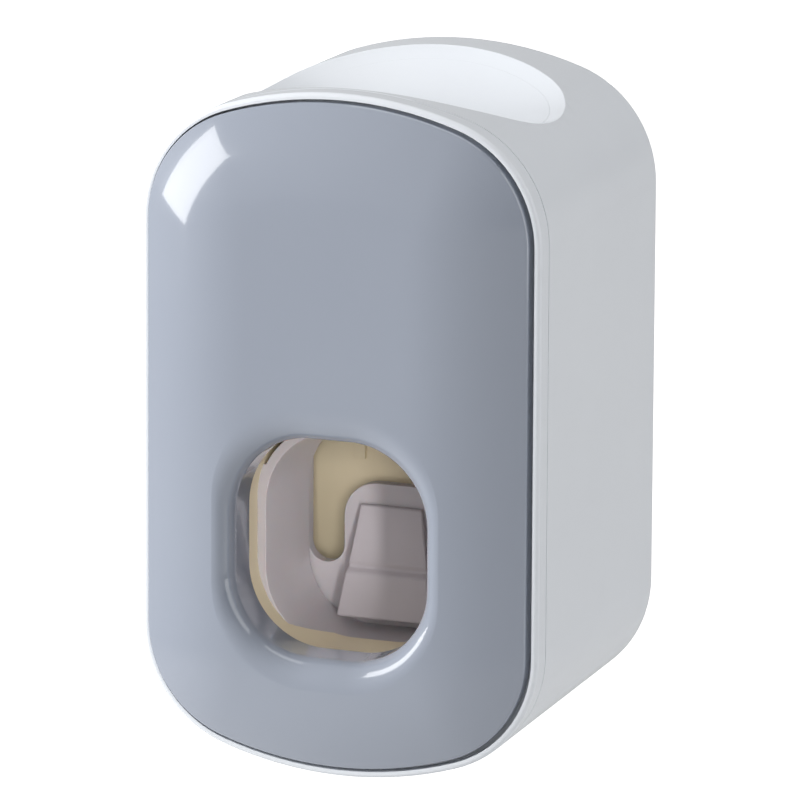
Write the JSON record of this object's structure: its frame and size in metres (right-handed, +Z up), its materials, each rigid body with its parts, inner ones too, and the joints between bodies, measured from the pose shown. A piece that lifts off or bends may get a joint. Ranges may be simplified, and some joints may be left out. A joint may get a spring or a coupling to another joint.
{
  "type": "toothpaste dispenser",
  "caption": "Wall-hung toothpaste dispenser: a tube stands neck down in a scoop on top, and a brush pushed into the front window tips a lever that pumps paste from a nozzle above it.",
  "frame": {"origin": "middle of the adhesive face on the wall", "axes": "+Z up; +Y into the wall, so the front with the brush window faces -Y; +X to the viewer's right"},
  "size_m": [0.07, 0.0657, 0.115],
  "materials": {
    "white_gloss": "gloss",
    "white_plastic": "satin",
    "blue_grey_gloss": "gloss",
    "grey_plastic": "satin",
    "grey_soft": "soft",
    "tan_plastic": "satin",
    "white_silicone": "soft",
    "black_rubber": "matte",
    "foam": "matte",
    "steel": "bright"
  },
  "bodies": {
    "wall": {"adhesive_pad": "foam", "wall_plate": "white_plastic"},
    "housing": {"housing_shell": "white_gloss", "tube_cup": "white_gloss", "back_plate": "white_gloss", "tube_seal": "white_silicone", "pump_chassis": "tan_plastic", "chassis_screws": "steel", "brush_well": "grey_plastic", "well_screws": "steel", "chamber_cap": "white_plastic", "cap_seal": "black_rubber", "rod_gland": "white_plastic", "inlet_seat": "white_plastic", "inlet_gasket": "white_silicone", "nozzle_collar": "white_plastic", "nozzle_tip": "white_silicone", "pivot_pin": "steel", "pivot_clips": "steel", "stop_pads": "black_rubber", "return_spring": "steel"},
    "lever": {"push_lever": "grey_plastic", "brush_pad": "grey_soft", "lever_bushes": "white_plastic"},
    "piston": {"piston": "white_plastic", "piston_seal": "black_rubber", "rod_button": "white_plastic"},
    "inlet_valve": {"inlet_flap": "white_silicone"},
    "outlet_valve": {"outlet_flap": "white_silicone"},
    "cover": {"front_bezel": "white_gloss", "front_panel": "blue_grey_gloss", "panel_screws": "steel"}
  },
  "joints": [
    {"name": "housing_lift", "type": "slide", "parent": "wall", "child": "housing", "axis": [0, 0, 1], "range_m": [0, 0.03]},
    {"name": "cover_pull", "type": "slide", "parent": "housing", "child": "cover", "axis": [0, -1, 0], "range_m": [0, 0.08]},
    {"name": "lever_push", "type": "hinge", "parent": "housing", "child": "lever", "pos_m": [0, -0.03, 0.007], "axis": [1, 0, 0], "range_deg": [0, 12], "stiffness_Nm_per_rad": 0.1, "springref_deg": -22.92},
    {"name": "piston_stroke", "type": "slide", "parent": "housing", "child": "piston", "axis": [0, -1, 0], "range_m": [0, 0.0043], "deforming": ["return_spring"]},
    {"name": "inlet_flap_swing", "type": "hinge", "parent": "housing", "child": "inlet_valve", "pos_m": [0, -0.0299, 0.0355], "axis": [1, 0, 0], "range_deg": [0, 25], "stiffness_Nm_per_rad": 0.0002, "springref_deg": -11.46},
    {"name": "outlet_flap_swing", "type": "hinge", "parent": "housing", "child": "outlet_valve", "pos_m": [0, -0.0389, 0.0075], "axis": [1, 0, 0], "range_deg": [0, 18], "stiffness_Nm_per_rad": 0.0002, "springref_deg": -11.46}
  ],
  "couplings": [
    {"joint": "piston_stroke", "follows": "lever_push", "m_per_rad": 0.0202}
  ]
}
